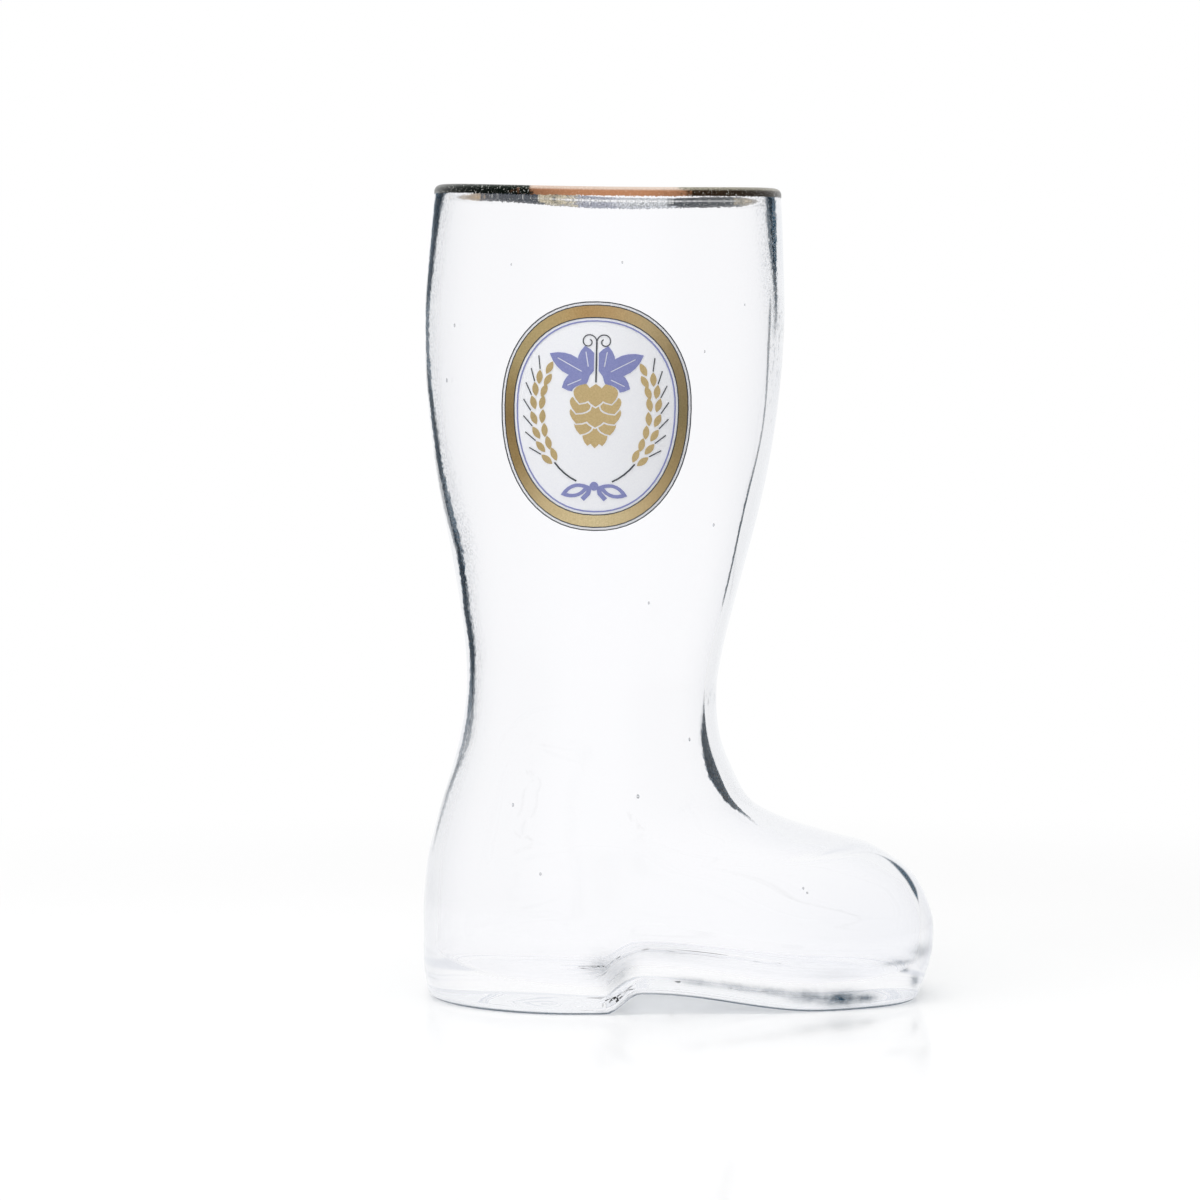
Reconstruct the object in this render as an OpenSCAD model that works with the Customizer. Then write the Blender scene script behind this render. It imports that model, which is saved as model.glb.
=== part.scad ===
// Half-litre beer boot: one piece of mould-blown glass, a gilded lip and a fired print on the leg.
// The leg is a body of revolution about an axis that leans towards the toe, and the foot is a loft
// of closed sections that run from the shin down to the sole.
// Frame: +X towards the toe, +Z up, the print faces -Y, and the origin is under the middle of the boot.

/* [Boot] */
// Height of the glass from the floor to the lip
boot_h = 176; // [160:1:200]
// Length of the foot from heel to toe
boot_l = 110.6; // [100:1:125]
// Outer diameter of the mouth
mouth_d = 74.6; // [70:0.1:77]
// Largest outer diameter of the leg
calf_d = 77.7; // [77:0.1:82]
// Height of the widest part of the leg
calf_z = 148; // [135:1:155]
// How far the leg leans towards the toe, in degrees
lean = 1.4; // [0:0.1:3]
// Thickness of the blown wall
wall = 2.7; // [2:0.1:3.2]

/* [Shin and ankle] */
// Height at which the round leg passes into the foot
shin_z = 99; // [92:1:106]
// Outer diameter of the leg at that height
shin_d = 65.3; // [62:0.1:69]
// Distance of the leg's axis from the back of the heel at that height
shin_x = 38.2; // [36:0.1:41]
// Height of the narrowest part of the ankle
ankle_z = 66; // [60:1:72]
// Outer diameter of the ankle
ankle_d = 54.2; // [50:0.1:59]
// How far the ankle stands in from the back of the heel
ankle_in = 9.4; // [7:0.1:12]

/* [Foot] */
// Width of the heel
heel_w = 71.4; // [64:0.1:76]
// Length of the heel where it stands on the floor
heel_l = 39.5; // [35:0.5:45]
// Thickness of the glass in the sole
sole_t = 3.2; // [2.6:0.1:4]
// Rounding where the wall turns under into the sole
base_r = 2.2; // [1.5:0.1:3]
// Height of the arch between heel and ball
arch_h = 4.2; // [2:0.1:5]
// Distance from the back of the heel to the ball, where the sole stands again
ball_x = 86.3; // [80:1:92]
// How far each side of the foot is drawn in at the waist
waist_in = 1.6; // [0:0.1:3]
// Height of the hollow under heel and ball, left where the hot glass sank
push_up = 0.6; // [0.2:0.1:1.2]

/* [Gilding] */
// Thickness of the fired gold film
gild_t = 0.08; // [0.05:0.01:0.2]
// Height of the gold band outside, from the top of the lip
gild_h = 2.2; // [1.5:0.1:5]
// Height of the gold band inside the mouth
gild_in_h = 1.6; // [1.4:0.1:3]

/* [Print] */
// Thickness of each fired layer of print
print_t = 0.1; // [0.05:0.01:0.2]
// Height of the widest line of the oval
badge_z = 128; // [120:1:136]
// Angle by which the oval is turned round the leg towards the heel
badge_turn = 2.3; // [-10:0.1:10]
// Half the width of the oval, seen from the front
badge_w = 20; // [17:0.1:22]
// Height of the oval above its widest line
badge_up = 22.1; // [19:0.1:25]
// Height of the oval below its widest line
badge_down = 26; // [22:0.1:28]
// Width of the dark hairlines
hairline_w = 0.22; // [0.15:0.01:0.4]
// Bare ground between the outer hairline and the gold ring
ring_gap = 0.45; // [0.3:0.05:0.8]
// Width of the gold ring at its sides
ring_side_w = 1.95; // [1.2:0.05:2.6]
// Width of the gold ring at its top and bottom
ring_end_w = 2.6; // [1.6:0.05:3.2]
// Width of the blue line inside the ring
blue_w = 0.3; // [0.2:0.05:0.6]
// Length of the hop cone
hop_l = 13; // [9:0.5:15]
// Width of the hop cone
hop_w = 8.4; // [6:0.1:10]
// Length of each barley grain
grain_l = 3; // [2:0.1:3.6]
// Width of each barley grain
grain_w = 1.35; // [0.8:0.05:1.6]
// Number of pairs of grains in an ear
grain_pairs = 7; // [4:1:9]
// Width of the ribbon that ties the ears
ribbon_w = 2.9; // [2:0.1:3.4]

/* [Hidden] */

lip_r = wall / 2;
mouth_r = mouth_d / 2;
calf_r = calf_d / 2;
shin_r = shin_d / 2;
// length of the leg's axis from the shin up to the top of the lip
leg_l = (boot_h - shin_z - (mouth_r - lip_r) * sin(lean)) / cos(lean);
calf_v = (calf_z - shin_z) / cos(lean);
badge_v = (badge_z - shin_z) / cos(lean);
// how late the leg closes in towards the mouth: 2 is a parabola
mouth_power = 1.35;
// number of straight steps in the leg's outline
leg_steps = 24;
// number of straight steps over the lip
lip_steps = 10;
// number of points round a section of the foot, and half of it
around = 64;
half_around = around / 2;
// overlap of the foot's neck with the leg, and how far the neck lies inside the wall there
neck_l = 0.6;
neck_in = 0.04;
// height up to which the arch is felt in the sides of the foot
arch_fade = 24;
// length over which the breast of the heel rises into the arch
breast_l = 7.3;
// place of the narrowest waist as a share of the foot, and its spread
waist_share = 0.54;
waist_l = 15;
// width of the flat band on which the boot stands
band_w = 5;
// how much of the hollow's height is reached one band further in
push_share = 0.75;
// crowding of the section's points towards the breast of the heel, and its place round the section
crowd = 0.4;
crowd_share = 0.565;

// Each shin section, in shares of the way from the ankle up to the shin:
// its height, its spread at the back and its spread at the front.
shin_shares = [[0.60, 0.40, 0.53], [0.28, 0.05, 0.18]];

// Each foot section, from the ankle down to the sole, in shares:
// back height of ankle_z, back inset of ankle_in, front height of ankle_z,
// front reach from the ankle to the toe, half width from the ankle to the heel,
// place of the greatest width, squareness of the back and squareness of the front.
foot_shares = [
    [1.000, 1.00, 1.000, 0.00, 0.00, 0.50, 2.00, 2.00],
    [0.865, 0.87, 0.865, 0.014, 0.15, 0.50, 2.00, 2.00],
    [0.745, 0.65, 0.755, 0.07, 0.36, 0.49, 2.00, 2.00],
    [0.645, 0.43, 0.645, 0.16, 0.58, 0.46, 2.00, 2.00],
    [0.555, 0.26, 0.578, 0.335, 0.75, 0.42, 2.00, 2.05],
    [0.470, 0.12, 0.529, 0.56, 0.87, 0.38, 2.00, 2.15],
    [0.390, 0.05, 0.496, 0.72, 0.95, 0.35, 2.00, 2.30],
    [0.305, 0.00, 0.409, 0.90, 0.99, 0.33, 2.00, 2.45],
    [0.230, 0.00, 0.286, 0.99, 1.00, 0.32, 2.00, 2.60],
    [0.160, 0.00, 0.186, 1.00, 0.99, 0.32, 2.05, 2.65],
    [0.100, 0.01, 0.107, 0.98, 0.98, 0.32, 2.10, 2.65],
    [0.027, 0.09, 0.027, 0.935, 0.99, 0.29, 1.90, 2.90]
];
// sections between two rows of the tables, outside and inside the glass
outer_steps = 2;
// steps round the corner between wall and sole
corner_steps = 3;

function mix(a, b, share) = a + (b - a) * share;
function smooth(a, b, x) = let (t = max(0, min(1, (x - a) / (b - a)))) t * t * (3 - 2 * t);

// Radius of the leg at the height v along its axis.
function leg_r(v) =
    v < calf_v
    ? calf_r - (calf_r - shin_r) * pow(1 - v / calf_v, 2)
    : calf_r - (calf_r - mouth_r) * pow(min(1, (v - calf_v) / (leg_l - calf_v)), mouth_power);

leg_heights = [for (i = [0:leg_steps]) (leg_l - lip_r) * i / leg_steps];
lip_c = [leg_r(leg_l - lip_r) - lip_r, leg_l - lip_r];

// Points of a half circle over the lip, at the given distance from its glass.
function over_lip(out) =
    [for (i = [0:lip_steps]) lip_c + (lip_r + out) * [cos(180 * i / lip_steps), sin(180 * i / lip_steps)]];

// Outline of the leg's outer face between two heights, moved out by the given distance.
function leg_line(low, high, out) =
    [for (v = leg_heights) if (v >= low && v <= high) [leg_r(v) + out, v]];

function turned(points) = [for (i = [len(points) - 1:-1:0]) points[i]];

// The rows of the loft in millimetres:
// [back height, back x, front height, front x, half width, place of width, back and front squareness].
function shin_row(row) =
    let (z = mix(ankle_z, shin_z, row[0]), x = mix(ankle_in, shin_x - shin_r, row[1]),
         r = mix(ankle_d / 2, shin_r, (row[1] + row[2]) / 2),
         front = mix(ankle_in + ankle_d, shin_x + shin_r, row[2]),
         tilt = (front - x) / 2 * sin(lean) * row[0])
    [z + tilt, x, z - tilt, front, r, 1 / 2, 2, 2];

function foot_row(row) =
    [row[0] * ankle_z, row[1] * ankle_in, row[2] * ankle_z, mix(ankle_in + ankle_d, boot_l, row[3]),
     mix(ankle_d, heel_w, row[4]) / 2, row[5], row[6], row[7]];

// The leg's own section at the height v along its axis, so that the foot goes on from the leg smoothly.
leg_step_v = 12;
function leg_row(v) =
    let (r = leg_r(v), x = shin_x + v * sin(lean), z = shin_z + v * cos(lean))
    [z + r * sin(lean), x - r * cos(lean), z - r * sin(lean), x + r * cos(lean), r, 1 / 2, 2, 2];
rows = concat([leg_row(0)], [for (row = shin_shares) shin_row(row)], [for (row = foot_shares) foot_row(row)]);
last_row = rows[len(rows) - 1];

// A row between two rows, on a smooth curve through all of them.
function row_at(i, u) =
    let (a = rows[i], b = rows[i + 1],
         before = i > 0 ? rows[i - 1] : leg_row(leg_step_v),
         after = i + 2 < len(rows) ? rows[i + 2] : 2 * b - a)
    a * (2 * u * u * u - 3 * u * u + 1) + (b - before) / 2 * (u * u * u - 2 * u * u + u)
    + b * (3 * u * u - 2 * u * u * u) + (after - a) / 2 * (u * u * u - u * u);

// Angle of point k round a section, from the toe through the +Y side, crowded at the breast.
function side_angle(k) =
    let (s = k / half_around)
    180 * (s - crowd / (2 * PI) * (sin(360 * (s - crowd_share)) + sin(360 * crowd_share)));
function around_angle(k) = k <= half_around ? side_angle(k) : 360 - side_angle(around - k);

// Lift of the sole at x, and the drawing in of the waist.
function arch_at(x) =
    arch_h * smooth(heel_l, heel_l + breast_l, x) * (1 - smooth(heel_l + breast_l, ball_x, x));
function waist_at(x) = waist_in * exp(-pow((x - waist_share * boot_l) / waist_l, 2));

// One closed section of the foot. inset shrinks it, and drop lowers it to the floor.
function section(row, inset, drop) =
    let (xb = row[1] + inset, xf = row[3] - inset, w = row[4] - inset, xm = mix(xb, xf, row[5]))
    [for (k = [0:around - 1])
        let (a = around_angle(k),
             share = (1 + cos(a)) / 2,
             x = mix(xb, xf, share),
             z = mix(row[0], row[2], share) * (1 - drop),
             e = x > xm ? row[7] : row[6],
             reach = x > xm ? xf - xm : xm - xb,
             y = sign(sin(a)) * w * pow(max(0, 1 - pow(abs(x - xm) / reach, e)), 1 / e),
             low = 1 - smooth(0, arch_fade, z))
        [x, y * (1 - waist_at(x) / w * low), z + arch_at(x) * low]];

// A ring of points round the leg's axis, for the neck that joins foot and leg.
function neck(r, v) =
    [for (k = [0:around - 1])
        let (a = around_angle(k))
        [shin_x + r * cos(a) * cos(lean) + v * sin(lean), r * sin(a),
         shin_z + v * cos(lean) - r * cos(a) * sin(lean)]];

wall_sections = [for (i = [0:len(rows) - 2]) for (j = [0:outer_steps - 1])
    if (i + j > 0) section(row_at(i, j / outer_steps), 0, 0)];
corner_sections = [for (i = [0:corner_steps])
    section(last_row, base_r * (1 - cos(90 * i / corner_steps)), sin(90 * i / corner_steps))];
// the flat band, and then the hollow of the sole
sole_sections = [
    section(last_row, base_r + band_w, 1),
    raised(section(last_row, base_r + 2 * band_w, 1), push_up * push_share),
    raised(section(last_row, base_r + 4 * band_w, 1), push_up)];

function raised(points, h) = [for (p = points) p + [0, 0, h]];

outer_rings = concat([neck(shin_r - neck_in, neck_l), neck(shin_r - neck_in, -neck_l)],
                     wall_sections, corner_sections, sole_sections);

// Direction from the outer face into the glass at point k of ring i.
function inward(i, k) =
    let (r = outer_rings, side = r[i][(k + 1) % around] - r[i][(k + around - 1) % around],
         n = cross(side, r[min(i + 1, len(r) - 1)][k] - r[i - 1][k]))
    n / norm(n);

// The inner face lies one wall inside the outer face, and one sole above it underfoot.
function inner_ring(i) =
    [for (k = [0:around - 1])
        let (n = inward(i, k), up = max(0, n[2]))
        outer_rings[i][k] + n * mix(wall, sole_t, up * up)];

first_inner = 3;
inner_rings = concat([neck(shin_r - wall + 2 * neck_in, neck_l), neck(shin_r - wall + 2 * neck_in, -neck_l)],
                     [for (i = [first_inner:2:len(outer_rings) - 6]) inner_ring(i)],
                     [for (i = [len(outer_rings) - 4:len(outer_rings) - 1]) inner_ring(i)]);

function next(k) = (k + 1) % around;
// Triangles of the band between ring i and ring i + 1, seen from outside or from inside.
function band_faces(i, first, inside) =
    [for (k = [0:around - 1]) for (half = [0, 1])
        let (a = first + i * around + k, b = first + i * around + next(k),
             c = b + around, d = a + around)
        inside ? (half == 0 ? [c, b, a] : [d, c, a]) : (half == 0 ? [a, b, c] : [a, c, d])];
// Strips across the last ring, from one side of the foot to the other.
function cross_faces(first, inside) =
    [for (k = [0:half_around - 1]) for (half = [0, 1])
        let (a = first + k, b = first + k + 1,
             c = first + around - k - 1, d = first + (around - k) % around,
             face = half == 0 ? [a, b, c] : [a, c, d])
        if (face[0] != face[2] && face[1] != face[2]) inside ? [face[2], face[1], face[0]] : face];

module leg_frame() {
    translate([shin_x - boot_l / 2, 0, shin_z]) rotate([0, lean, 0]) children();
}

module leg_shell() {
    leg_frame() rotate_extrude($fn = 96)
        polygon(concat(leg_line(0, leg_l, 0), over_lip(0),
                       turned([for (v = leg_heights) [leg_r(v) - wall, v]])));
}

module foot_shell() {
    inner_first = len(outer_rings) * around;
    points = concat([for (ring = outer_rings) each ring], [for (ring = inner_rings) each ring]);
    mouth_faces = [for (k = [0:around - 1]) for (half = [0, 1])
        half == 0 ? [next(k), k, inner_first + k] : [next(k), inner_first + k, inner_first + next(k)]];
    faces = concat(
        [for (i = [0:len(outer_rings) - 2]) each band_faces(i, 0, false)],
        cross_faces(inner_first - around, false),
        [for (i = [0:len(inner_rings) - 2]) each band_faces(i, inner_first, true)],
        cross_faces(len(points) - around, true),
        mouth_faces);
    translate([-boot_l / 2, 0, 0]) polyhedron(points = points, faces = faces, convexity = 6);
}

module boot_glass() {
    color([0.80, 0.88, 0.90], 0.55) union() {
        leg_shell();
        foot_shell();
    }
}

// A thin film over the lip: down the outside, over the top and a little way into the mouth.
module rim_gilding() {
    straight = [gild_h - lip_r, gild_in_h - lip_r];
    line = concat([lip_c + [lip_r, -straight[0]]], over_lip(0), [lip_c + [-lip_r, -straight[1]]]);
    face = concat([lip_c + [lip_r + gild_t, -straight[0]]], over_lip(gild_t),
                  [lip_c + [-lip_r - gild_t, -straight[1]]]);
    color([0.62, 0.42, 0.26]) leg_frame() rotate_extrude($fn = 96)
        polygon(concat(turned(line), face));
}

// The print: outlines are drawn flat, as seen from the front, with the origin on the widest line
// of the oval, and each becomes a film that follows the leg. Layer 0 lies on the glass.
module print_film(layer) {
    low = badge_v - badge_down - band_w;
    high = badge_v + badge_up + band_w;
    leg_frame() rotate([0, 0, -badge_turn]) intersection() {
        rotate_extrude($fn = 96)
            polygon(concat(leg_line(low, high, layer * print_t),
                           turned(leg_line(low, high, (layer + 1) * print_t))));
        translate([0, 0, badge_v]) rotate([90, 0, 0]) linear_extrude(calf_d) children();
    }
}

// Half axes of the ovals: [half width, height above and below the widest line].
edge_oval = [badge_w, badge_up, badge_down];
ring_oval = shrink(edge_oval, hairline_w + ring_gap, hairline_w + ring_gap);
field_oval = shrink(ring_oval, ring_side_w, ring_end_w);
blue_oval = shrink(field_oval, ring_gap + hairline_w, ring_gap + hairline_w);
function shrink(oval, side, end) = oval - [side, end, end];

// The oval is a little squarer than an ellipse.
oval_power = 2.2;
oval_step = 6;
module oval(o) {
    polygon([for (a = [0:oval_step:359])
        [o[0] * sign(cos(a)) * pow(abs(cos(a)), 2 / oval_power),
         (sin(a) > 0 ? o[1] : o[2]) * sign(sin(a)) * pow(abs(sin(a)), 2 / oval_power)]]);
}
module oval_line(o, side, end) {
    difference() {
        oval(o);
        oval(shrink(o, side, end));
    }
}

// A pointed oval from the origin up to the length l, as a grain, a bract or the lobe of a leaf.
petal_steps = 7;
petal_power = 0.8;
function petal_half(w, t) = w / 2 * pow(sin(180 * t), petal_power);
module petal(l, w) {
    polygon(concat(
        [for (i = [0:petal_steps]) [petal_half(w, i / petal_steps), l * i / petal_steps]],
        [for (i = [petal_steps - 1:-1:1]) [-petal_half(w, i / petal_steps), l * i / petal_steps]]));
}

// A pen line of width w along a list of points.
function across(points, i) =
    let (d = points[min(i + 1, len(points) - 1)] - points[max(i - 1, 0)])
    [-d[1], d[0]] / norm(d);
module pen(points, w) {
    polygon(concat(
        [for (i = [0:len(points) - 1]) points[i] + across(points, i) * w / 2],
        [for (i = [len(points) - 1:-1:0]) points[i] - across(points, i) * w / 2]));
}

// Both halves of a figure that is alike on either side.
module both_sides() {
    children();
    mirror([1, 0, 0]) children();
}

// Places of the figure inside the blue line, as shares of the oval above and below its widest line.
hop_top_share = 0.22;
wreath_side_share = 0.726;
wreath_down_share = 0.74;
knot_share = 0.75;
// widths of the figure's dark lines and of the bare line between its parts
pen_w = hairline_w * 1.5;

// The hop cone: rows of bracts that hang over each other like tiles, with a thin line between.
hop_rows = 5;
// how far a row's bracts stand out, from the top down, and how much wider than that they are
hop_spread_shares = [0.30, 0.36, 0.36, 0.28, 0.14];
bract_wide_share = 0.18;
bract_out_share = 0.8;
// turn of a bract that stands out by the whole width of the cone, and length of a middle bract
bract_turn = 60;
bract_mid_share = 1.1;
function hop_row_top(i) = badge_up * hop_top_share - hop_l * i / (hop_rows + 1);
module hop_row(i, grow) {
    l = hop_l * 2 / (hop_rows + 1) + grow;
    w = hop_w * (bract_wide_share + hop_spread_shares[i]) + 2 * grow;
    both_sides() translate([hop_w * hop_spread_shares[i] * bract_out_share, hop_row_top(i)])
        rotate([0, 0, 180 + bract_turn * hop_spread_shares[i]]) petal(l, w);
    if (i % 2 == 0) translate([0, hop_row_top(i)]) rotate([0, 0, 180]) petal(l * bract_mid_share, w);
}
module hop_cone_outline() {
    for (i = [0:hop_rows - 1]) {
        if (i == 0) hop_row(0, 0);
        else difference() {
            hop_row(i, 0);
            hop_row(i - 1, pen_w);
            if (i > 1) hop_row(i - 2, pen_w);
        }
    }
}

// A hop leaf of three lobes with its ribs left bare, and its place beside the stem.
leaf_l = hop_l * 0.74;
leaf_turn = 62;
leaf_place_shares = [0.16, 0.20];
lobe_turn = 52;
lobe_shares = [0.66, 1, 0.66];
lobe_wide_share = 0.42;
rib_shares = [0.2, 0.8];
module hop_leaf() {
    difference() {
        union() for (i = [0:2]) rotate([0, 0, lobe_turn * (i - 1)])
            petal(leaf_l * lobe_shares[i], leaf_l * lobe_wide_share);
        for (i = [0:2]) rotate([0, 0, lobe_turn * (i - 1)])
            pen([[0, leaf_l * rib_shares[0]], [0, leaf_l * lobe_shares[i] * rib_shares[1]]], hairline_w);
    }
}
stem_l = hop_w * 1.05;
module hop_stem(w) {
    pen([[0, hop_row_top(0) + pen_w], [0, hop_row_top(0) + stem_l]], w);
}
module hop_leaves_outline() {
    difference() {
        both_sides() translate([0, hop_row_top(0)] + hop_w * leaf_place_shares)
            rotate([0, 0, -leaf_turn]) hop_leaf();
        for (i = [0, 1]) hop_row(i, pen_w);
        hop_stem(3 * pen_w);
    }
}

// The wreath: two ears of barley on one curve, whose stalks meet under a ribbon.
function wreath_point(a) =
    [blue_oval[0] * wreath_side_share * cos(a),
     sin(a) * (sin(a) > 0 ? blue_oval[1] : blue_oval[2]) * wreath_down_share];
ear_from = -46;
ear_to = 30;
stalk_from = -72;
stalk_steps = 4;
// how far a grain stands off the stalk, its turn, and the ends of its awn
grain_out_share = 0.42;
grain_turn = 14;
awn_shares = [1.05, 2];
awn_turn = 10;
function ear_angle(i) = mix(ear_from, ear_to, i / grain_pairs);
function heading(a) =
    let (d = wreath_point(a + 1) - wreath_point(a - 1)) atan2(-d[0], d[1]);
module at_grain(i) {
    translate(wreath_point(ear_angle(i))) rotate([0, 0, heading(ear_angle(i))]) children();
}
module ear_outline() {
    for (i = [0:grain_pairs - 1]) at_grain(i)
        both_sides() translate([grain_w * grain_out_share, 0]) rotate([0, 0, -grain_turn])
            petal(grain_l, grain_w);
    at_grain(grain_pairs) petal(grain_l, grain_w);
}
module barley_ears_outline() {
    both_sides() ear_outline();
}
// A stalk, and an awn past the tip of each outer grain.
module stalk_outline() {
    pen([for (i = [0:stalk_steps]) wreath_point(mix(stalk_from, ear_from, i / stalk_steps))], pen_w);
    for (i = [0:grain_pairs - 1]) at_grain(i)
        translate([grain_w * grain_out_share, 0]) rotate([0, 0, -grain_turn])
            translate([0, grain_l * awn_shares[0]]) rotate([0, 0, -awn_turn])
                pen([[0, 0], [0, grain_l * (awn_shares[1] - awn_shares[0])]], hairline_w);
}
// A tendril: a curl that tightens as it turns over one round and a bit.
tendril_r = hop_w * 0.2;
tendril_turn = 420;
tendril_step = 20;
tendril_close = 600;
function curl(a) = tendril_r * (1 - a / tendril_close);
module tendril() {
    pen([for (a = [0:tendril_step:tendril_turn]) [tendril_r - curl(a) * cos(a), curl(a) * sin(a)]],
        hairline_w);
}
module stalks_outline() {
    both_sides() stalk_outline();
    both_sides() translate([0, hop_row_top(0) + stem_l]) tendril();
    hop_stem(pen_w);
}

// The ribbon, in shares of its width: a knot, two loops and two tails.
knot_r = ribbon_w * 0.32;
loop_shares = [2.2, 0.95];
loop_hole_shares = [1.3, 0.45];
loop_turn = 108;
tail_shares = [[0, 0], [0.16, 0.5], [0, 1.1]];
tail_w = ribbon_w * 0.34;
tail_turn = 152;
module ribbon_outline() {
    translate([0, -blue_oval[2] * knot_share]) {
        circle(r = knot_r, $fn = 32);
        both_sides() translate([knot_r, 0]) {
            rotate([0, 0, -loop_turn]) difference() {
                petal(ribbon_w * loop_shares[0], ribbon_w * loop_shares[1]);
                translate([0, ribbon_w * (loop_shares[0] - loop_hole_shares[0]) / 2])
                    petal(ribbon_w * loop_hole_shares[0], ribbon_w * loop_hole_shares[1]);
            }
            rotate([0, 0, -tail_turn]) pen(ribbon_w * tail_shares, tail_w);
        }
    }
}

module print_ground() {
    color([0.95, 0.95, 0.98]) print_film(0) oval(edge_oval);
}
module print_hairlines() {
    color([0.17, 0.18, 0.20]) print_film(1) {
        oval_line(edge_oval, hairline_w, hairline_w);
        oval_line(ring_oval, hairline_w, hairline_w);
        oval_line(field_oval, hairline_w, hairline_w);
    }
}
module print_gold_ring() {
    color([0.62, 0.50, 0.30]) print_film(1)
        oval_line(shrink(ring_oval, hairline_w, hairline_w), ring_side_w - hairline_w, ring_end_w - hairline_w);
}
module print_blue_line() {
    color([0.56, 0.58, 0.77]) print_film(1) oval_line(blue_oval, blue_w, blue_w);
}
module print_hop_cone() {
    color([0.78, 0.65, 0.38]) print_film(1) hop_cone_outline();
}
module print_hop_leaves() {
    color([0.56, 0.58, 0.77]) print_film(1) hop_leaves_outline();
}
module print_barley_ears() {
    color([0.72, 0.58, 0.32]) print_film(1) barley_ears_outline();
}
module print_barley_stalks() {
    color([0.17, 0.18, 0.20]) print_film(1) stalks_outline();
}
module print_ribbon() {
    color([0.56, 0.58, 0.77]) print_film(1) ribbon_outline();
}

boot_glass();
rim_gilding();
print_ground();
print_gold_ring();
print_hairlines();
print_blue_line();
print_hop_cone();
print_hop_leaves();
print_barley_ears();
print_barley_stalks();
print_ribbon();
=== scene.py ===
# %% [markdown]
# # A beer boot in Blender
# The object is a half-litre boot of clear mould-blown glass. It has a gilded lip and an oval print on
# the leg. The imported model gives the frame: its sizes, its places and the layers of the print.
# Lengths below are in millimetres, as a glassmaker gives them, and mm turns them into metres.

# %% Load the frame
import math

import bmesh
import bpy
import numpy as np
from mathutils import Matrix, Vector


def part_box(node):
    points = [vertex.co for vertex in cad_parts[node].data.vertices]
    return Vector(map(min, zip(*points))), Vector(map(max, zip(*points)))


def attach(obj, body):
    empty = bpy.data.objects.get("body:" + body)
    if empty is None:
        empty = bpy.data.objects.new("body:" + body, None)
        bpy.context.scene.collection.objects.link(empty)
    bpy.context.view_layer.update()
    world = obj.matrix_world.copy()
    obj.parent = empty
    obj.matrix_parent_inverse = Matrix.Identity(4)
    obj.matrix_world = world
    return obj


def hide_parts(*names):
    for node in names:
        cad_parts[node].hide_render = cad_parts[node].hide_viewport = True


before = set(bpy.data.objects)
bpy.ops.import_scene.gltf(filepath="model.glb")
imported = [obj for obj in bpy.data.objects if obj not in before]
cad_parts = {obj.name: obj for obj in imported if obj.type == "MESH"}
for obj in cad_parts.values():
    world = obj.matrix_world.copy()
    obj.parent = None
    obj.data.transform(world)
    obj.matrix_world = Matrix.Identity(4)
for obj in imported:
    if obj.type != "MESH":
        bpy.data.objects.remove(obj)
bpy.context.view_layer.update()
mm = 0.001
scene = bpy.context.scene
print("nodes:", ", ".join(sorted(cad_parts)))

# %% [markdown]
# ## Camera
# The photograph was taken from about a metre away with a long lens, from a little under the lip,
# so the far edge of the lip shows as a narrow ellipse. A long lens keeps the leg's sides nearly parallel.

# %% Camera
camera_distance = 1075
camera_side = -16.96
camera_height = 138.07
camera_pitch = 2.777
sensor_w = 36
lens = 148.93

camera_data = bpy.data.cameras.new("camera")
camera_data.sensor_width = sensor_w
camera_data.lens = lens
camera_data.clip_end = 100
camera = bpy.data.objects.new("camera", camera_data)
camera.location = [camera_side * mm, -camera_distance * mm, camera_height * mm]
camera.rotation_euler = [math.radians(90 - camera_pitch), 0, 0]
scene.collection.objects.link(camera)
scene.camera = camera
print("camera lens", lens, "mm")

# %% [markdown]
# ## Sizes of the blown glass
# The leg is a body of revolution whose axis leans towards the toe. Below the shin the sections stop
# being round, so the foot is a loft: a table says where the back, the front and the sides of each
# section lie. These are the sizes of the mould, and the frame's box shows that they still agree.

# %% Sizes
boot_h = 176
boot_l = 110.6
mouth_d = 74.6
calf_d = 77.7
calf_z = 148
mouth_power = 1.35
lean = math.radians(1.4)
wall = 2.7
shin_z = 99
shin_d = 65.3
shin_x = 38.2
ankle_z = 66
ankle_d = 54.2
ankle_in = 9.4
heel_w = 71.4
heel_l = 39.5
breast_l = 7.3
ball_x = 86.3
arch_h = 4.2
arch_fade = 24
waist_in = 1.6
waist_share = 0.54
waist_l = 15
base_r = 2.2
sole_t = 3.2
push_up = 0.6

# height, back spread and front spread on the way from the ankle up to the shin
shin_shares = [[0.60, 0.40, 0.53], [0.28, 0.05, 0.18]]
# back height, back inset, front height, front reach, half width, place of width, squareness back and front
foot_shares = [
    [1.000, 1.00, 1.000, 0.00, 0.00, 0.50, 2.00, 2.00],
    [0.865, 0.87, 0.865, 0.014, 0.15, 0.50, 2.00, 2.00],
    [0.745, 0.65, 0.755, 0.07, 0.36, 0.49, 2.00, 2.00],
    [0.645, 0.43, 0.645, 0.16, 0.58, 0.46, 2.00, 2.00],
    [0.555, 0.26, 0.578, 0.335, 0.75, 0.42, 2.00, 2.05],
    [0.470, 0.12, 0.529, 0.56, 0.87, 0.38, 2.00, 2.15],
    [0.390, 0.05, 0.496, 0.72, 0.95, 0.35, 2.00, 2.30],
    [0.305, 0.00, 0.409, 0.90, 0.99, 0.33, 2.00, 2.45],
    [0.230, 0.00, 0.286, 0.99, 1.00, 0.32, 2.00, 2.60],
    [0.160, 0.00, 0.186, 1.00, 0.99, 0.32, 2.05, 2.65],
    [0.100, 0.01, 0.107, 0.98, 0.98, 0.32, 2.10, 2.65],
    [0.027, 0.09, 0.027, 0.935, 0.99, 0.29, 1.90, 2.90],
]

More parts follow.
